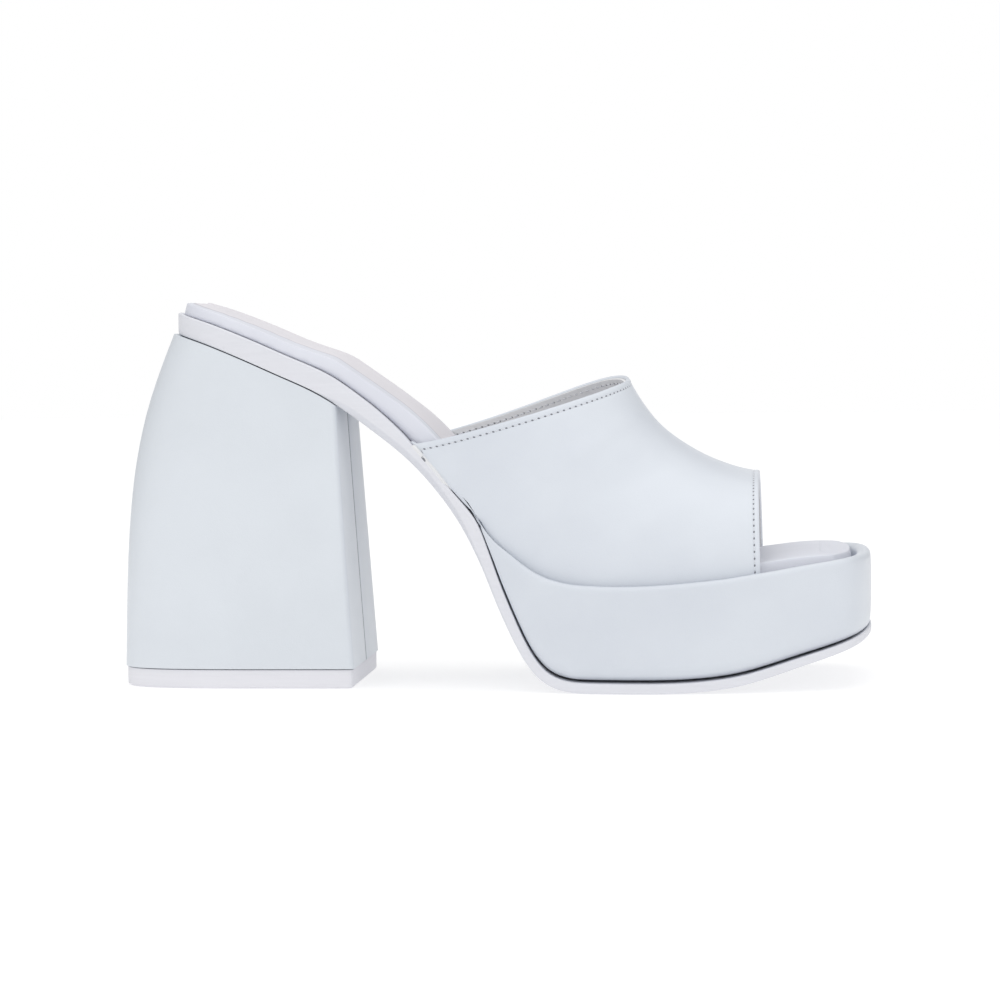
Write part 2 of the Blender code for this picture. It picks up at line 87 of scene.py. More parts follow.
# Length along the sole, width that the row follows, share of it, axis offset as a share of the ball
OUTLINE = (
    (0.317, "waist", 1.005, -0.005),
    (0.361, "waist", 1.036, -0.013),
    (0.405, "waist", 1.115, -0.021),
    (0.450, "ball", 0.700, -0.027),
    (0.494, "ball", 0.780, -0.029),
    (0.538, "ball", 0.855, -0.027),
    (0.582, "ball", 0.920, -0.022),
    (0.627, "ball", 0.966, -0.016),
    (0.671, "ball", 0.991, -0.010),
    (0.715, "ball", 1.000, -0.005),
    (0.760, "ball", 0.994, 0.000),
    (0.804, "ball", 0.977, 0.006),
    (0.848, "ball", 0.948, 0.013),
    (0.892, "toe", 1.048, 0.021),
    (0.937, "toe", 0.995, 0.029),
    (1.000, "toe", 0.910, 0.040),
)

# Length along the sole, height of the underside as a share of the heel height
DESCENT = (
    (0.307, 0.702),
    (0.336, 0.657),
    (0.364, 0.605),
    (0.392, 0.542),
    (0.421, 0.464),
    (0.450, 0.358),
    (0.478, 0.226),
    (0.507, 0.110),
    (0.523, 0.063),
    (0.542, 0.027),
    (0.564, 0.008),
    (0.590, 0.000),
    (1.000, 0.000),
)

# Length along the sole, lift of the underside as a share of the toe spring
SPRING = (
    (0.000, 0.000),
    (0.690, 0.000),
    (0.730, 0.012),
    (0.760, 0.038),
    (0.790, 0.084),
    (0.8135, 0.136),
    (0.8525, 0.282),
    (0.896, 0.480),
    (0.937, 0.660),
    (0.979, 0.870),
    (1.000, 1.000),
)

# Length along the sole, edge that the row follows, share of it
EDGE = (
    (0.295, "seat", 1.00),
    (0.330, "seat", 0.86),
    (0.360, "seat", 0.66),
    (0.385, "shank", 0.96),
    (0.410, "shank", 1.00),
    (0.430, "shank", 1.12),
    (0.4485, "shank", 1.31),
    (0.462, "shank", 1.04),
    (0.500, "tread", 1.10),
    (0.560, "tread", 1.00),
    (0.800, "tread", 0.92),
    (1.000, "tread", 0.72),
)

# Length along the sole, platform's thickness as a share of the largest
LIFT = (
    (0.445, 0.000),
    (0.465, 0.176),
    (0.479, 0.370),
    (0.494, 0.553),
    (0.508, 0.705),
    (0.523, 0.843),
    (0.537, 0.928),
    (0.551, 0.976),
    (0.565, 0.997),
    (0.593, 0.998),
    (0.640, 0.986),
    (0.690, 0.996),
    (0.760, 1.017),
    (0.814, 1.012),
    (0.869, 0.962),
    (0.923, 0.905),
)

# Length along the sole, rim width and recess depth as shares of their own sizes
RIM = (
    (0.330, 0.08, 0.03),
    (0.450, 0.20, 0.03),
    (0.495, 0.62, 0.50),
    (0.540, 0.95, 0.90),
    (0.580, 1.00, 1.00),
    (0.900, 1.00, 1.00),
)

# Foot of the section along the sole, its ridge along the sole, ridge height as a share of the
# instep height, roundness of the arch, sag of the outer half, swell of the inner half, belly
UPPER = (
    (0.3520, 0.6530, 1.0000, 2.00, 1.00, 1.00, 0.20),
    (0.4050, 0.6670, 0.9430, 2.02, 0.60, 0.75, 0.60),
    (0.4580, 0.6820, 0.8920, 2.06, 0.28, 0.50, 1.00),
    (0.5160, 0.6975, 0.8500, 2.10, 0.08, 0.28, 1.00),
    (0.5735, 0.7170, 0.8110, 2.15, 0.00, 0.10, 1.00),
    (0.6310, 0.7415, 0.7730, 2.22, 0.00, 0.00, 1.00),
    (0.6890, 0.7665, 0.7410, 2.30, 0.00, 0.00, 0.80),
    (0.7460, 0.7930, 0.7155, 2.38, 0.00, 0.00, 0.60),
    (0.7990, 0.8190, 0.6970, 2.45, 0.00, 0.00, 0.40),
    (0.8437, 0.8405, 0.6880, 2.50, 0.00, 0.00, 0.20),
)

# Soft troughs and ridges of the vamp: place along it, place round it, half length and half width in
# those shares, turn in degrees, height
CREASES = (
    (0.30, -0.42, 0.30, 0.055, 62, 0.22 * MM),
    (0.42, -0.50, 0.32, 0.050, 60, -0.24 * MM),
    (0.62, -0.62, 0.24, 0.060, 50, 0.20 * MM),
    (0.80, -0.55, 0.20, 0.050, 75, -0.16 * MM),
    (0.52, -0.20, 0.20, 0.050, 80, -0.16 * MM),
    (0.70, -0.18, 0.16, 0.045, 85, 0.14 * MM),
    (0.34, 0.45, 0.28, 0.055, -62, 0.22 * MM),
    (0.48, 0.52, 0.28, 0.050, -60, -0.22 * MM),
    (0.72, 0.55, 0.22, 0.055, -70, 0.18 * MM),
)

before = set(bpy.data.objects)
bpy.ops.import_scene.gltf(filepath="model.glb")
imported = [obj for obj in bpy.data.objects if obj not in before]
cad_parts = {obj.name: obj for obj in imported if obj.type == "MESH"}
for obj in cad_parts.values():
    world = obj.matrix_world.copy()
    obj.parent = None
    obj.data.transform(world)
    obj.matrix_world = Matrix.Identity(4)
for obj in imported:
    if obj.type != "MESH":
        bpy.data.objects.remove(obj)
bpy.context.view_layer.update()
bpy.context.scene.view_settings.view_transform = "Standard"


class Curve:
    """Monotone cubic through the first and another column of a table."""

    def __init__(self, rows, column=1):
        self.ats = [row[0] for row in rows]
        self.values = [row[column] for row in rows]
        steps = [(v - u) / (b - a) for a, b, u, v in zip(
            self.ats, self.ats[1:], self.values, self.values[1:])]
        self.tangents = [steps[0]]
        for before, after in zip(steps, steps[1:]):
            level = before * after <= 0.0
            self.tangents.append(0.0 if level else 2.0 * before * after / (before + after))
        self.tangents.append(steps[-1])

    def __call__(self, at):
        if at <= self.ats[0]:
            return self.values[0]
        if at >= self.ats[-1]:
            return self.values[-1]
        i = bisect.bisect_right(self.ats, at) - 1
        span = self.ats[i + 1] - self.ats[i]
        t = (at - self.ats[i]) / span
        rise, fall = span * self.tangents[i], span * self.tangents[i + 1]
        return (self.values[i] * (1 + 2 * t) * (1 - t) ** 2 + rise * t * (1 - t) ** 2
                + self.values[i + 1] * t * t * (3 - 2 * t) + fall * t * t * (t - 1))


def sized(rows, sizes):
    """Curve of the lengths that the size name and share of each row give."""
    return Curve([(row[0], sizes[row[1]] * row[2]) for row in rows])


WIDTH = sized(OUTLINE, {"waist": WAIST_WIDTH, "ball": BALL_WIDTH, "toe": TOE_WIDTH})
AXIS = Curve(OUTLINE, 3)
DESCENDING, SPRINGING, LIFTING = Curve(DESCENT), Curve(SPRING), Curve(LIFT)
EDGE_THICKNESS = sized(EDGE, {"seat": SEAT_EDGE, "shank": SHANK_EDGE, "tread": TREAD_EDGE})
RIM_SHARE, RECESS_SHARE = Curve(RIM, 1), Curve(RIM, 2)
SECTIONS = [Curve([(i / (len(UPPER) - 1), row[column]) for i, row in enumerate(UPPER)])
            for column in range(7)]


def underside(along):
    """Height of the outsole's underside at a share of the sole's length."""
    return DESCENDING(along) * HEEL_HEIGHT + SPRINGING(along) * TOE_SPRING


def slant(height, along):
    """Length of a slanting face over its level length."""
    rise = height(along + SLOPE_REACH) - height(along - SLOPE_REACH)
    return math.hypot(1.0, rise / (2 * SLOPE_REACH * SOLE_LENGTH))


def tread_top(along):
    """Height of the outsole's upper face."""
    return underside(along) + EDGE_THICKNESS(along) * slant(underside, along)


def recess_floor(along):
    """Height of the floor inside the platform's rim."""
    rim = tread_top(along) + LIFTING(along) * PLATFORM_THICKNESS
    return rim - RECESS_SHARE(along) * RECESS_DEPTH


def bed(along):
    """Height that carries the upper: outsole behind, eased up to the platform in front."""
    if along >= WEDGE_START:
        return recess_floor(along)
    step = recess_floor(WEDGE_START) - tread_top(WEDGE_START)
    ease = 1.0 - (WEDGE_START - along) * SOLE_LENGTH / TIP_EASE
    return tread_top(along) + step * max(ease, 0.0)


def foot_height(along):
    """Height of the upper's foot, a fit above what carries it."""
    return bed(along) + FIT * slant(bed, along)


FOOT_STEPS = 240
FOOT = Curve([(at, foot_height(at)) for at in (
    UPPER[0][0] + (UPPER[-1][0] - UPPER[0][0]) * i / FOOT_STEPS for i in range(FOOT_STEPS + 1))])


def bulge(shape, rise):
    """Dip or lift between foot and ridge, nothing at either end."""
    scale, rising, falling = shape
    return scale * rise ** rising * (1 - rise) ** falling


def vamp_point(progress, turn):
    """Point of the upper's outer face, from the topline at 0 to the toe opening at 1.

    turn runs from -1 at the outer foot of the section, over the ridge at 0, to 1 at its inner foot.
    """
    foot, ridge, top, roundness, sag, swell, belly = (curve(progress) for curve in SECTIONS)
    angle = math.radians(90 * turn)
    rise = max(math.cos(angle), 0.0) ** (2 / roundness)
    spread = abs(math.sin(angle)) ** (2 / roundness)
    side = -1 if turn < 0 else 1
    along = foot + (ridge - foot) * rise
    floor = FOOT(foot)
    height = floor + (top * INSTEP_HEIGHT - floor) * rise
    if side < 0:
        height -= sag * TOPLINE_SAG * bulge(SAG_SHAPE, rise)
    else:
        height += swell * TOPLINE_SWELL * bulge(SWELL_SHAPE, rise)
    axis = AXIS(along) * BALL_WIDTH
    inset = RIM_SHARE(along) * RIM_WIDTH + FEATHER_GAP
    edge = axis + side * (WIDTH(along) / 2 - inset)
    middle = axis + RIDGE_OFFSET
    wall = side * belly * WALL_BELLY * math.sin(2 * angle) ** 2
    return Vector((SOLE_BACK + along * SOLE_LENGTH, middle + (edge - middle) * spread + wall, height))


STEP = 0.002


def vamp_slopes(progress, turn):
    """Change of the outer face along and round it, and its outward normal."""
    low, high = max(progress - STEP, 0.0), min(progress + STEP, 1.0)
    left, right = max(turn - STEP, -1.0), min(turn + STEP, 1.0)
    along = (vamp_point(high, turn) - vamp_point(low, turn)) / (high - low)
    around = (vamp_point(progress, right) - vamp_point(progress, left)) / (right - left)
    return along, around, along.cross(around).normalized()


@functools.lru_cache(maxsize=None)
def reach(progress, turn):
    """Distance square to the free edge that one whole progress would cover at this place."""
    along, around, normal = vamp_slopes(progress, turn)
    return along.cross(around).length / around.length


def crease_relief(progress, turn):
    """Height of the listed soft troughs and ridges."""
    height = 0.0
    for place, side, length, width, tilt, rise in CREASES:
        run, across = progress - place, turn - side
        turned = math.radians(tilt)
        lengthwise = run * math.cos(turned) + across * math.sin(turned)
        sideways = -run * math.sin(turned) + across * math.cos(turned)
        height += rise * math.exp(-(lengthwise / length) ** 2 - (sideways / width) ** 2)
    return height


FOLD_SWELL = 0.20 * MM
ROW_DIP = 0.20 * MM
ROW_HALF = 0.42 * MM


def fold_relief(away, row):
    """Swell of the turned edge, and the dip in which its stitch row lies."""
    if away > row + 4 * ROW_HALF:
        return 0.0
    swell = FOLD_SWELL * max(math.sin(math.pi * min(away / row, 1.0)), 0.0) ** 0.7
    return swell - ROW_DIP * math.exp(-((away - row) / ROW_HALF) ** 2)


def vamp_surface(progress, turn, below=0.0):
    """Point of the finished outer face, or of a layer below it, with its outward normal."""
    normal = vamp_slopes(progress, turn)[2]
    back = progress * reach(0.0, turn)
    front = (1 - progress) * reach(1.0, turn)
    relief = crease_relief(progress, turn)
    if below == 0.0:
        relief += fold_relief(back, TOPLINE_ROW) + fold_relief(front, OPENING_ROW)
    return vamp_point(progress, turn) + normal * (relief - below), normal


def only(piece):
    """Select one piece alone and make it the active one."""
    bpy.ops.object.select_all(action="DESELECT")
    piece.select_set(True)
    bpy.context.view_layer.objects.active = piece


def apply_all(piece):
    """Apply the piece's modifiers in their order."""
    only(piece)
    for modifier in list(piece.modifiers):
        bpy.ops.object.modifier_apply(modifier=modifier.name)


def add_modifier(piece, kind, **settings):
    """Add a modifier with its settings."""
    made = piece.modifiers.new(kind.lower(), kind)
    for name, value in settings.items():
        setattr(made, name, value)
    return made


def settle(piece, slot, *nodes):
    """Ride the piece on the one body and hide what it stands for; the slot is not used."""
    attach(piece, "root")
    if nodes:
        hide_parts(*nodes)


def select_faces(piece, wanted):
    """Select the faces of the piece in edit mode that a test names."""
    bpy.ops.mesh.select_all(action="DESELECT")
    build = bmesh.from_edit_mesh(piece.data)
    for face in build.faces:
        if wanted(face):
            face.select_set(True)
    build.select_flush_mode()
    bmesh.update_edit_mesh(piece.data)


def select_points(piece, wanted):
    """Select the vertices of the piece in edit mode that a test names."""
    bpy.ops.mesh.select_all(action="DESELECT")
    build = bmesh.from_edit_mesh(piece.data)
    for point in build.verts:
        point.select = wanted(point)
    build.select_flush(True)
    bmesh.update_edit_mesh(piece.data)


UNDER = -0.3


def seat_down(piece, drop):
    """Let the underside of a piece in edit mode meet what carries it."""
    select_faces(piece, lambda face: face.normal.z < UNDER)
    bpy.ops.transform.translate(value=(0, 0, -drop))


def crease_edges(piece, angle, weight):
    """Keep the edges that turn more than an angle partly crisp when the piece is smoothed."""
    build = bmesh.from_edit_mesh(piece.data)
    layer = build.edges.layers.float.get("crease_edge") or build.edges.layers.float.new("crease_edge")
    for edge in build.edges:
        if len(edge.link_faces) == 2 and edge.calc_face_angle() > math.radians(angle):
            edge[layer] = weight
    bmesh.update_edit_mesh(piece.data)


def merged_copy(node, name):
    """A CAD node's mesh as a new piece, with its doubles merged and its faces four-sided."""
    piece = bpy.data.objects.new(name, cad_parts[node].data.copy())
    bpy.context.scene.collection.objects.link(piece)
    piece.data.materials.clear()
    only(piece)
    bpy.ops.object.mode_set(mode="EDIT")
    bpy.ops.mesh.select_all(action="SELECT")
    bpy.ops.mesh.remove_doubles(threshold=0.01 * MM)
    bpy.ops.mesh.tris_convert_to_quads(face_threshold=math.radians(30), shape_threshold=math.radians(60))
    bpy.ops.object.mode_set(mode="OBJECT")
    if piece.data.has_custom_normals:
        bpy.ops.mesh.customdata_custom_splitnormals_clear()
    bpy.ops.object.shade_smooth()
    return piece


def soften(piece, width, angle, levels, segments=2):
    """Round the sharp edges by a small width and smooth the rest."""
    add_modifier(piece, "BEVEL", width=width, segments=segments, limit_method="ANGLE",
                 angle_limit=math.radians(angle), use_clamp_overlap=True)
    add_modifier(piece, "SUBSURF", levels=levels, render_levels=levels)
    apply_all(piece)


WRAP_DROP = 0.27 * MM
INSOLE_DROP = 0.31 * MM
RIDGE_CRISPNESS = 0.45
SEAM_LEFT = 0.10 * MM
BREAST_FRONT = 0.0290


def make_top_piece():
    """Wearing plate under the heel."""
    piece = merged_copy("top_piece", "top_piece_rubber")
    soften(piece, 0.15 * MM, 25, 1)
    settle(piece, "top_piece", "top_piece")
    return piece


# Half width of each step of the closed seam, and how much further in the leather turns there
SEAM_STEPS = ((1.30 * MM, 0.10 * MM), (0.75 * MM, 0.22 * MM), (0.34 * MM, 1.30 * MM))


def make_heel():
    """Heel cover with the closed seam down the middle of its breast."""
    piece = merged_copy("heel_block", "heel_cover")
    soften(piece, 0.45 * MM, 35, 2, 3)
    bpy.ops.object.mode_set(mode="EDIT")
    for half, turn_in in SEAM_STEPS:
        for y in (-half, half):
            select_faces(piece, lambda face: face.normal.x > 0.9)
            bpy.ops.mesh.bisect(plane_co=(0, y, 0), plane_no=(0, 1, 0))
    for y in (-SEAM_LEFT, SEAM_LEFT):
        select_faces(piece, lambda face: face.normal.x > 0.9)
        bpy.ops.mesh.bisect(plane_co=(0, y, 0), plane_no=(0, 1, 0))
    for half, turn_in in SEAM_STEPS:
        select_points(piece, lambda point: point.co.x > BREAST_FRONT and abs(point.co.y) < half - SEAM_LEFT / 2)
        bpy.ops.transform.translate(value=(-turn_in, 0, 0))
    bpy.ops.object.mode_set(mode="OBJECT")
    settle(piece, "heel_cover", "heel_block")
    return piece


def make_outsole():
    """One-piece outsole with softened edges."""
    piece = merged_copy("outsole", "outsole_edge")
    soften(piece, 0.22 * MM, 30, 1)
    settle(piece, "outsole", "outsole")
    return piece


def make_platform():
    """Leather wrap of the platform, with its rolled rim."""
    piece = merged_copy("platform", "platform_wrap")
    bpy.ops.object.mode_set(mode="EDIT")
    seat_down(piece, WRAP_DROP)
    crease_edges(piece, 60, 0.9)
    bpy.ops.object.mode_set(mode="OBJECT")
    add_modifier(piece, "SUBSURF", levels=2, render_levels=2)
    apply_all(piece)
    settle(piece, "platform_wrap", "platform")
    return piece


TRACE_STEP = 0.25 * MM


def edge_distance(piece, key):
    """Keep for each point of the piece its plan distance from the piece's own lower edge."""
    mesh = piece.data
    below = [face for face in mesh.polygons if face.normal.z < UNDER]
    uses = collections.Counter(pair for face in below for pair in face.edge_keys)
    marks = []
    for (first, last), count in uses.items():
        if count == 1:
            start, end = (mesh.vertices[index].co * Vector((1, 1, 0)) for index in (first, last))
            steps = max(int((end - start).length / TRACE_STEP), 1)
            marks += [start.lerp(end, i / steps) for i in range(steps)]
    tree = KDTree(len(marks))
    for i, mark in enumerate(marks):
        tree.insert(mark, i)
    tree.balance()
    away = [tree.find(point.co * Vector((1, 1, 0)))[2] for point in mesh.vertices]
    mesh.attributes.new(key, "FLOAT", "POINT").data.foreach_set("value", away)


def make_insole():
    """Padded insole with its wrapped edge; the sock over its heel half is part of its finish."""
    piece = merged_copy("footbed", "insole_cover")
    bpy.ops.object.mode_set(mode="EDIT")
    seat_down(piece, INSOLE_DROP)
    crease_edges(piece, 30, RIDGE_CRISPNESS)
    crease_edges(piece, 60, 0.9)
    bpy.ops.object.mode_set(mode="OBJECT")
    add_modifier(piece, "SUBSURF", levels=2, render_levels=2)
    apply_all(piece)
    edge_distance(piece, "edge_away")
    settle(piece, "footbed_cover", "footbed")
    return piece


TURNS = 144
MIDDLE_ROWS = 46
TURN_PLACES = [2 * j / TURNS - 1 for j in range(TURNS + 1)]
TOPLINE_STEPS = (0.0, 0.62, 0.95, 1.30, 1.60, 1.85, 2.05, 2.25, 2.50, 2.90, 3.50, 4.50, 6.00)
OPENING_STEPS = (0.0, 0.58, 0.85, 1.10, 1.35, 1.53, 1.70, 1.87, 2.10, 2.45, 3.00, 4.00, 5.50)


def progress_rows(turn, back):
    """Places along the vamp at one turn, closer together at both free edges."""
    start = [(back + step * MM) / reach(0.0, turn) for step in TOPLINE_STEPS]
    end = [1 - (back + step * MM) / reach(1.0, turn) for step in reversed(OPENING_STEPS)]
    span = (end[0] - start[-1]) / (MIDDLE_ROWS + 1)
    middle = [start[-1] + span * (i + 1) for i in range(MIDDLE_ROWS)]
    return start + middle + end


def row_places(edge, row, below=0.0):
    """Places of a stitch row with their normals, from the outer foot; edge is 0 or 1."""
    return [vamp_surface(abs(edge - row / reach(edge, turn)), turn, below) for turn in TURN_PLACES]


def row_runs(places):
    """Length along a row up to each of its places."""
    runs = [0.0]
    for before, after in zip(places, places[1:]):
        runs.append(runs[-1] + (after[0] - before[0]).length)
    return runs


TOPLINE_PLACES = row_places(0.0, TOPLINE_ROW)
OPENING_PLACES = row_places(1.0, OPENING_ROW)
INSIDE_PLACES = [(place, -normal) for place, normal in row_places(0.0, TOPLINE_ROW, INSIDE)]
TOPLINE_RUNS = row_runs(TOPLINE_PLACES)
OPENING_RUNS = row_runs(OPENING_PLACES)


def vamp_shell(name, below, back, thickness, rounding):
    """One layer of the upper: a grid laid on its surface, given a thickness and round edges."""
    rows = len(TOPLINE_STEPS) + MIDDLE_ROWS + len(OPENING_STEPS)
    bpy.ops.object.select_all(action="DESELECT")
    bpy.ops.mesh.primitive_grid_add(x_subdivisions=rows - 1, y_subdivisions=TURNS, size=2)
    piece = bpy.context.object
    piece.name = name
    mesh = piece.data
    mesh.name = name
    tracks = {key: [0.0] * len(mesh.vertices)
              for key in ("topline_away", "topline_run", "opening_away", "opening_run")}
    for j, turn in enumerate(TURN_PLACES):
        places = progress_rows(turn, back)
        for i, progress in enumerate(places):
            index = j * rows + i
            mesh.vertices[index].co = vamp_surface(progress, turn, below)[0]
            tracks["topline_away"][index] = progress * reach(0.0, turn)
            tracks["topline_run"][index] = TOPLINE_RUNS[j]
            tracks["opening_away"][index] = (1 - progress) * reach(1.0, turn)
            tracks["opening_run"][index] = OPENING_RUNS[j]
    for key, values in tracks.items():
        mesh.attributes.new(key, "FLOAT", "POINT").data.foreach_set("value", values)
    only(piece)
    bpy.ops.object.shade_smooth()
    bpy.ops.object.mode_set(mode="EDIT")
    bpy.ops.mesh.select_all(action="SELECT")
    middle = mesh.polygons[len(mesh.polygons) // 2]
    if middle.normal.z < 0:
        bpy.ops.mesh.flip_normals()
    bpy.ops.object.mode_set(mode="OBJECT")
    add_modifier(piece, "SOLIDIFY", thickness=thickness, offset=-1.0)
    add_modifier(piece, "BEVEL", width=rounding, segments=4, limit_method="ANGLE",
                 angle_limit=math.radians(60), use_clamp_overlap=True)
    apply_all(piece)
    return piece


def make_vamp():
    """Outer leather of the upper with its turned, stitched edges."""
    piece = vamp_shell("vamp_leather", 0.0, 0.0, LEATHER, 0.45 * LEATHER)
    settle(piece, "upper_leather", "upper")
    return piece


def make_lining():
    """Thin lining inside the vamp, a little back from both free edges."""
    piece = vamp_shell("vamp_lining", LEATHER + LINING_GAP, LINING_BACK, LINING, 0.3 * LINING)
    settle(piece, "upper_leather", "upper")
    return piece


def make_stitch():
    """One thread stitch along X whose ends dive into the leather."""
    bpy.ops.object.select_all(action="DESELECT")
    bpy.ops.mesh.primitive_uv_sphere_add(segments=8, ring_count=8, radius=0.5)
    stitch = bpy.context.object
    stitch.rotation_euler = (0, math.radians(90), 0)
    bpy.ops.object.transform_apply(rotation=True)
    stitch.scale = (STITCH_LENGTH, THREAD, THREAD)
    bpy.ops.object.transform_apply(scale=True)
    bpy.ops.object.mode_set(mode="EDIT")
    for share, dive in ((0.30, 0.12), (0.44, 0.30)):
        select_points(stitch, lambda point: abs(point.co.x) > share * STITCH_LENGTH)
        bpy.ops.transform.translate(value=(0, 0, -dive * THREAD))
    bpy.ops.object.mode_set(mode="OBJECT")
    return stitch


def make_stitches(name, places):
    """Row of sunk thread stitches along one edge of the vamp."""
    stitch = make_stitch()
    pattern = stitch.data
    runs = row_runs(places)
    row = bmesh.new()
    for k in range(int(runs[-1] / PITCH)):
        at = (k + 0.5) * PITCH
        j = bisect.bisect_right(runs, at) - 1
        share = (at - runs[j]) / (runs[j + 1] - runs[j])
        centre = places[j][0].lerp(places[j + 1][0], share)
        normal = places[j][1].lerp(places[j + 1][1], share).normalized()
        run = (places[j + 1][0] - places[j][0]).normalized()
        across = normal.cross(run).normalized()
        turned = Matrix((run, across, normal)).transposed().to_4x4()
        turned.translation = centre + normal * 0.10 * THREAD
        first = len(row.verts)
        row.from_mesh(pattern)
        row.verts.ensure_lookup_table()
        bmesh.ops.transform(row, matrix=turned, verts=row.verts[first:])
    mesh = bpy.data.meshes.new(name)
    row.to_mesh(mesh)
    row.free()
    bpy.data.objects.remove(stitch)
    piece = bpy.data.objects.new(name, mesh)
    bpy.context.scene.collection.objects.link(piece)
    only(piece)
    bpy.ops.object.shade_smooth()
    settle(piece, "upper_leather")
    return piece


class Socket:
    """A value inside a finish; arithmetic on it adds Math nodes."""

    def __init__(self, finish, link):
        self.finish = finish
        self.link = link

    def _math(self, operation, *values):
        return self.finish.node("ShaderNodeMath", {"operation": operation}, dict(enumerate(values)))

    def __add__(self, other):
        return self._math("ADD", self, other)

    __radd__ = __add__

    def __sub__(self, other):
        return self._math("SUBTRACT", self, other)

    def __rsub__(self, other):
        return self._math("SUBTRACT", other, self)

    def __mul__(self, other):
        return self._math("MULTIPLY", self, other)

    __rmul__ = __mul__

    def __truediv__(self, other):
        return self._math("DIVIDE", self, other)

    def __rtruediv__(self, other):
        return self._math("DIVIDE", other, self)

    def __pow__(self, other):
        return self._math("POWER", self, other)


class Finish:
    """One procedural material."""

    def __init__(self, name):
        self.material = bpy.data.materials.new(name)
        self.material.use_nodes = True
        self.tree = self.material.node_tree
        self.shader = self.tree.nodes["Principled BSDF"]
        self.place = self.node("ShaderNodeTexCoord", output="Object")

    def node(self, kind, settings=None, sockets=None, output=0):
        """Add a node with its settings and the values or links of its sockets."""
        made = self.tree.nodes.new(kind)
        for key, value in (settings or {}).items():
            if key == "stops":
                ramp = made.color_ramp.elements
                for i, (at, colour) in enumerate(value):
                    stop = ramp[i] if i < 2 else ramp.new(at)
                    stop.position, stop.color = at, colour
            else:
                setattr(made, key, value)
        for key, value in (sockets or {}).items():
            self.set(made.inputs[key], value)
        return Socket(self, made.outputs[output])

    def set(self, target, value):
        """Give a socket a value or a link."""
        if isinstance(value, Socket):
            self.tree.links.new(value.link, target)
        else:
            target.default_value = value

    def noise(self, scale, detail=2.0, roughness=0.5, at=None):
        """Noise from 0 to 1 with features of about one over the scale, in metres."""
        return self.node("ShaderNodeTexNoise", None, {
            "Vector": at or self.place, "Scale": scale, "Detail": detail, "Roughness": roughness})

    def cells(self, scale, at=None):
        """Distance to the nearest of scattered points."""
        return self.node("ShaderNodeTexVoronoi", None, {"Vector": at or self.place, "Scale": scale})

    def stretched(self, scale):
        """Object coordinates stretched by a scale for each axis."""
        return self.node("ShaderNodeMapping", None, {"Vector": self.place, "Scale": scale})

    def mix(self, factor, low, high):
        """Colour between two, by a factor."""
        return self.node("ShaderNodeMix", {"data_type": "RGBA"}, {0: factor, 6: low, 7: high}, 2)

    def between(self, value, low, high):
        """Share of the way of a value from low to high, smooth and held at the ends."""
        return self.node("ShaderNodeMapRange", {"interpolation_type": "SMOOTHSTEP"},
                         {"Value": value, "From Min": low, "From Max": high})

    def attribute(self, name):
        """The piece's own number at each point."""
        return self.node("ShaderNodeAttribute", {"attribute_name": name}, None, "Fac")

    def finish(self, colour, roughness, height, depth, strength=1.0, **constants):
        """Connect colour, roughness and relief; the other sockets get plain values."""
        self.set(self.shader.inputs["Base Color"], colour)
        self.set(self.shader.inputs["Roughness"], roughness)
        relief = self.node("ShaderNodeBump", None, {
            "Height": height, "Distance": depth, "Strength": strength})
        self.set(self.shader.inputs["Normal"], relief)
        for name, value in constants.items():
            self.shader.inputs[name.replace("_", " ")].default_value = value
        return self.material


def rgb(red, green, blue):
    """Linear colour with full alpha from display values of 0 to 255."""
    def linear(value):
        value /= 255
        return value / 12.92 if value <= 0.04045 else ((value + 0.055) / 1.055) ** 2.4
    return (linear(red), linear(green), linear(blue), 1.0)


def stitch_holes(skin, rows, radius):
    """Needle holes between the stitches of some rows, 1 in a hole and 0 elsewhere."""
    holes = 0.0
    for edge, row in rows:
        away = (skin.attribute(edge + "_away") - row) / (0.72 * radius)
        turns = skin.attribute(edge + "_run") / PITCH
        beat = turns - skin.node("ShaderNodeMath", {"operation": "FLOOR"}, {0: turns + 0.5})
        along = beat * PITCH / radius
        holes = holes + (1 - skin.between(away * away + along * along, 0.35, 1.3))
    return holes


def leather(name, light, deep, roughness=0.40, pore=1500, depth=0.045 * MM, stitched=False,
            painted_seam_shadow=False):
    """Smooth finished leather: soft tone changes, fine pores, slight uneven gloss."""
    skin = Finish(name)
    tone = skin.between(skin.noise(22, 3), 0.35, 0.65)
    cloud = skin.noise(160, 3)
    colour = skin.mix(tone * 0.7 + cloud * 0.3, light, deep)
    pores = skin.between(skin.cells(pore), 0.05, 0.45)
    grain = skin.noise(620, 4, 0.6)
    height = pores * 0.45 + grain * 0.55
    rubbed = skin.between(skin.noise(1.0, 3, 0.6, skin.stretched((70, 260, 120))), 0.62, 0.78)
    gloss = roughness + (skin.noise(95, 3) - 0.5) * 0.16 - rubbed * 0.06
    if stitched:
        holes = stitch_holes(skin, (("topline", TOPLINE_ROW), ("opening", OPENING_ROW)), HOLE)
        # Painted shade in the needle holes: the holes are only a dip in the bump, and their dark colour stands
        # in for the shade inside them.
        colour = skin.mix(holes, colour, rgb(118, 120, 128))
        height = height - holes * 3.0
    if painted_seam_shadow:
        along = skin.node("ShaderNodeSeparateXYZ", None, {0: skin.place}, "X")
        across = skin.node("ShaderNodeSeparateXYZ", None, {0: skin.place}, "Y")
        off = skin.node("ShaderNodeMath", {"operation": "ABSOLUTE"}, {0: across})
        # Painted shadow along the closed seam down the breast: a dark line over the groove, standing in for the
        # shade that falls into it.
        seam = (1 - skin.between(off, 0.35 * MM, 1.0 * MM)) * skin.between(along, 0.0285, 0.0295)
        colour = skin.mix(seam * 0.85, colour, rgb(92, 93, 100))
    return skin.finish(colour, gloss, height, depth, 0.7, Coat_Weight=0.12, Coat_Roughness=0.30,
                       Specular_IOR_Level=0.42)


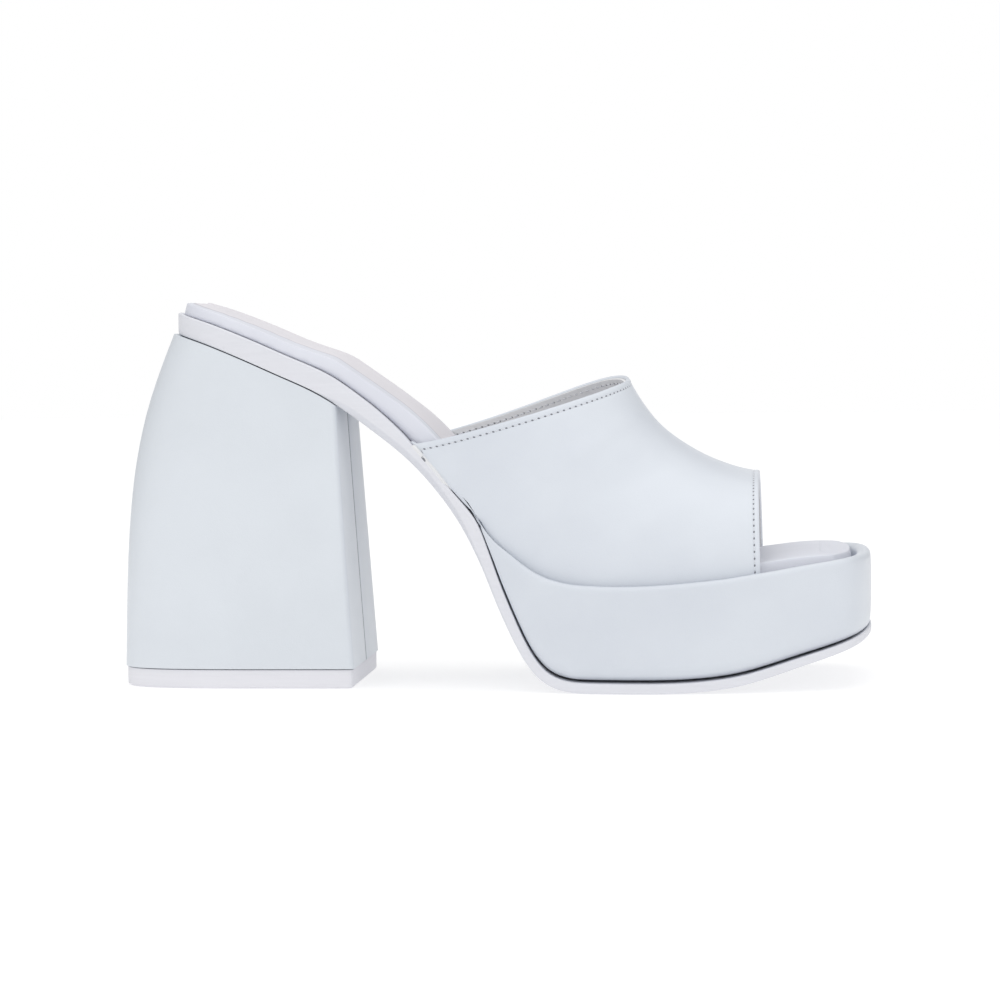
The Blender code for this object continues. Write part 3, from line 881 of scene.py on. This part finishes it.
def lining_finish(name):
    """Soft unglazed lining with a fine nap and the inside of the topline's stitch row."""
    skin = Finish(name)
    nap = skin.noise(1900, 3, 0.7)
    holes = stitch_holes(skin, (("topline", TOPLINE_ROW),), HOLE)
    colour = skin.mix(skin.noise(60, 3), rgb(232, 232, 232), rgb(221, 222, 225))
    # Painted shade in the needle holes: their dark colour stands in for the shade inside them, and the holes
    # are only a dip in the bump.
    colour = skin.mix(holes, colour, rgb(120, 122, 128))
    return skin.finish(colour, 0.62 + nap * 0.12, nap - holes * 3.0, 0.05 * MM, 0.7, Sheen_Weight=0.15)


# Plan distance from the insole's lower edge to the sock's edge, at the back and further on
SOCK_BACK_MARGIN = 3.2 * MM
SOCK_MARGIN = 5.4 * MM
SOCK_FRONT = 0.0910
SOCK_EDGE = 0.35 * MM


def insole_finish(name):
    """Insole cover in smooth leather; over its heel half a pebbled sock with a soft, low edge."""
    skin = Finish(name)
    along = skin.node("ShaderNodeSeparateXYZ", None, {0: skin.place})
    margin = SOCK_BACK_MARGIN + skin.between(along, -0.012, 0.016) * (SOCK_MARGIN - SOCK_BACK_MARGIN)
    inside = skin.attribute("edge_away") - margin
    behind = SOCK_FRONT - along
    nearest = skin.node("ShaderNodeMath", {"operation": "MINIMUM"}, {0: inside, 1: behind})
    sock = skin.between(nearest, -SOCK_EDGE, SOCK_EDGE)
    distance = skin.node("ShaderNodeMath", {"operation": "ABSOLUTE"}, {0: nearest})
    groove = 1 - skin.between(distance, 0.3 * SOCK_EDGE, 2.2 * SOCK_EDGE)
    clouds = skin.noise(45, 3)
    cover = skin.mix(clouds, rgb(222, 224, 232), rgb(213, 215, 224))
    pale = skin.mix(clouds, rgb(228, 225, 229), rgb(219, 217, 222))
    colour = skin.mix(sock, cover, pale)
    # Painted shade along the sock's edge: the groove is a dip in the bump, and this darker colour stands in for
    # the shade inside it.
    colour = skin.mix(groove * 0.45, colour, rgb(170, 168, 176))
    pebble = skin.between(skin.cells(950), 0.0, 0.55) * sock
    grain = skin.noise(620, 4, 0.6) * 0.35
    height = pebble * 0.45 + grain + sock * 1.2 - groove * 1.6
    return skin.finish(colour, 0.44 + sock * 0.12 + skin.noise(120, 3) * 0.10, height, 0.09 * MM, 0.75,
                       Specular_IOR_Level=0.38)


def edge_finish(name):
    """Painted sole edge: satin, with fine streaks along the sole."""
    skin = Finish(name)
    streaks = skin.noise(1.0, 4, 0.6, skin.stretched((45, 420, 900)))
    colour = skin.mix(streaks * 0.7 + skin.noise(30, 2) * 0.3, rgb(226, 227, 233), rgb(212, 213, 219))
    height = streaks * 0.6 + skin.noise(900, 3) * 0.4
    return skin.finish(colour, 0.42 + streaks * 0.14, height, 0.06 * MM, 0.6, Specular_IOR_Level=0.40)


def rubber_finish(name):
    """Wearing plate: dense pale rubber with fine moulding lines."""
    skin = Finish(name)
    lines = skin.noise(1.0, 3, 0.5, skin.stretched((60, 60, 1500)))
    colour = skin.mix(lines * 0.6 + skin.noise(40, 2) * 0.4, rgb(229, 229, 234), rgb(217, 217, 223))
    return skin.finish(colour, 0.50 + lines * 0.12, lines + skin.noise(1100, 3) * 0.5, 0.05 * MM, 0.6)


def thread_finish(name):
    """Waxed thread with a fine twist."""
    skin = Finish(name)
    twist = skin.node("ShaderNodeTexWave", {"bands_direction": "DIAGONAL"}, {
        "Vector": skin.place, "Scale": 900.0, "Distortion": 1.5})
    colour = skin.mix(twist, rgb(205, 208, 214), rgb(232, 234, 238))
    return skin.finish(colour, 0.48 + twist * 0.1, twist, 0.05 * MM, 0.8)


def dress(piece, *materials):
    """Give a piece its materials, slot by slot."""
    while len(piece.data.materials) < len(materials):
        piece.data.materials.append(None)
    for i, material in enumerate(materials):
        piece.data.materials[i] = material


def make_floor():
    """Plain white floor."""
    bpy.ops.object.select_all(action="DESELECT")
    bpy.ops.mesh.primitive_plane_add(size=6.0, location=(0, 0, 0))
    floor = bpy.context.object
    floor.name = "floor"
    skin = Finish("floor_white")
    skin.shader.inputs["Base Color"].default_value = (0.50, 0.50, 0.50, 1)
    skin.shader.inputs["Roughness"].default_value = 0.9
    skin.shader.inputs["Specular IOR Level"].default_value = 0.1
    skin.shader.inputs["Emission Color"].default_value = (1, 1, 1, 1)
    skin.shader.inputs["Emission Strength"].default_value = 0.56
    dress(floor, skin.material)


# Dark panels of the studio: level direction behind the shoe, and its share of the light there
BEHIND = (-0.095, 0.9955, 0.0)
PANEL_LIGHT = 0.30


def make_world():
    """Even white surroundings with a dark panel to the left and to the right behind the shoe."""
    world = bpy.data.worlds.new("studio")
    world.use_nodes = True
    bpy.context.scene.world = world
    tree = world.node_tree

    def add(kind, operation=None, *values):
        made = tree.nodes.new(kind)
        if operation:
            made.operation = operation
        for socket, value in zip(made.inputs, values):
            if isinstance(value, bpy.types.NodeSocket):
                tree.links.new(value, socket)
            else:
                socket.default_value = value
        return made

    def step(value, low, high):
        ramp = add("ShaderNodeMapRange", None, value, low, high)
        ramp.interpolation_type = "SMOOTHSTEP"
        return ramp.outputs["Result"]

    direction = add("ShaderNodeTexCoord").outputs["Generated"]
    towards = add("ShaderNodeVectorMath", "DOT_PRODUCT", direction, BEHIND).outputs["Value"]
    height = add("ShaderNodeSeparateXYZ", None, direction).outputs["Z"]
    rise = add("ShaderNodeMath", "ABSOLUTE", height).outputs[0]
    beside = add("ShaderNodeMath", "MULTIPLY", step(towards, 0.97, 0.88), step(towards, -0.10, 0.30))
    level = step(rise, 0.75, 0.45)
    panel = add("ShaderNodeMath", "MULTIPLY", beside.outputs[0], level)
    light = add("ShaderNodeMath", "MULTIPLY_ADD", panel.outputs[0], PANEL_LIGHT - 1.0, 1.0)
    backdrop = tree.nodes["Background"]
    backdrop.inputs["Color"].default_value = (1, 1, 1, 1)
    tree.links.new(light.outputs[0], backdrop.inputs["Strength"])


def softbox(name, place, aim, size, power):
    """Square soft light turned towards a point."""
    light = bpy.data.lights.new(name, "AREA")
    light.shape = "SQUARE"
    light.size = size
    light.energy = power
    item = bpy.data.objects.new(name, light)
    item.location = place
    item.rotation_euler = (Vector(aim) - Vector(place)).to_track_quat("-Z", "Y").to_euler()
    bpy.context.scene.collection.objects.link(item)


def make_camera():
    """Camera of the photograph, rolled by its slight tilt."""
    data = bpy.data.cameras.new("camera")
    data.sensor_width = SENSOR
    data.lens = FOCAL_PIXELS / FRAME_PIXELS * SENSOR
    data.clip_start = 0.05
    data.clip_end = 20
    camera = bpy.data.objects.new("camera", data)
    bpy.context.scene.collection.objects.link(camera)
    camera.location = EYE
    level = (Vector(AIM) - Vector(EYE)).to_track_quat("-Z", "Y")
    camera.rotation_mode = "QUATERNION"
    camera.rotation_quaternion = level @ Quaternion((0, 0, 1), math.radians(-ROLL))
    bpy.context.scene.camera = camera


WHITE = rgb(216, 221, 228)
SHADE = rgb(209, 214, 222)

vamp = leather("vamp_nappa", WHITE, SHADE, stitched=True)
wrap = leather("platform_nappa", rgb(213, 218, 225), rgb(206, 211, 219), 0.42)
cover = leather("heel_nappa", rgb(216, 221, 227), rgb(211, 216, 222), 0.44, painted_seam_shadow=True)
thread = thread_finish("thread")

dress(make_top_piece(), rubber_finish("top_piece_rubber"))
dress(make_heel(), cover)
dress(make_outsole(), edge_finish("sole_edge_paint"))
dress(make_platform(), wrap)
dress(make_insole(), insole_finish("insole_nappa"))
dress(make_vamp(), vamp)
dress(make_lining(), lining_finish("lining_leather"))
dress(make_stitches("topline_stitches", TOPLINE_PLACES), thread)
dress(make_stitches("opening_stitches", OPENING_PLACES), thread)
dress(make_stitches("topline_stitches_inside", INSIDE_PLACES), thread)

make_floor()
make_world()
softbox("top_light", (0.05, -0.15, 1.4), (0.09, 0, 0), 1.3, 4.0)
make_camera()
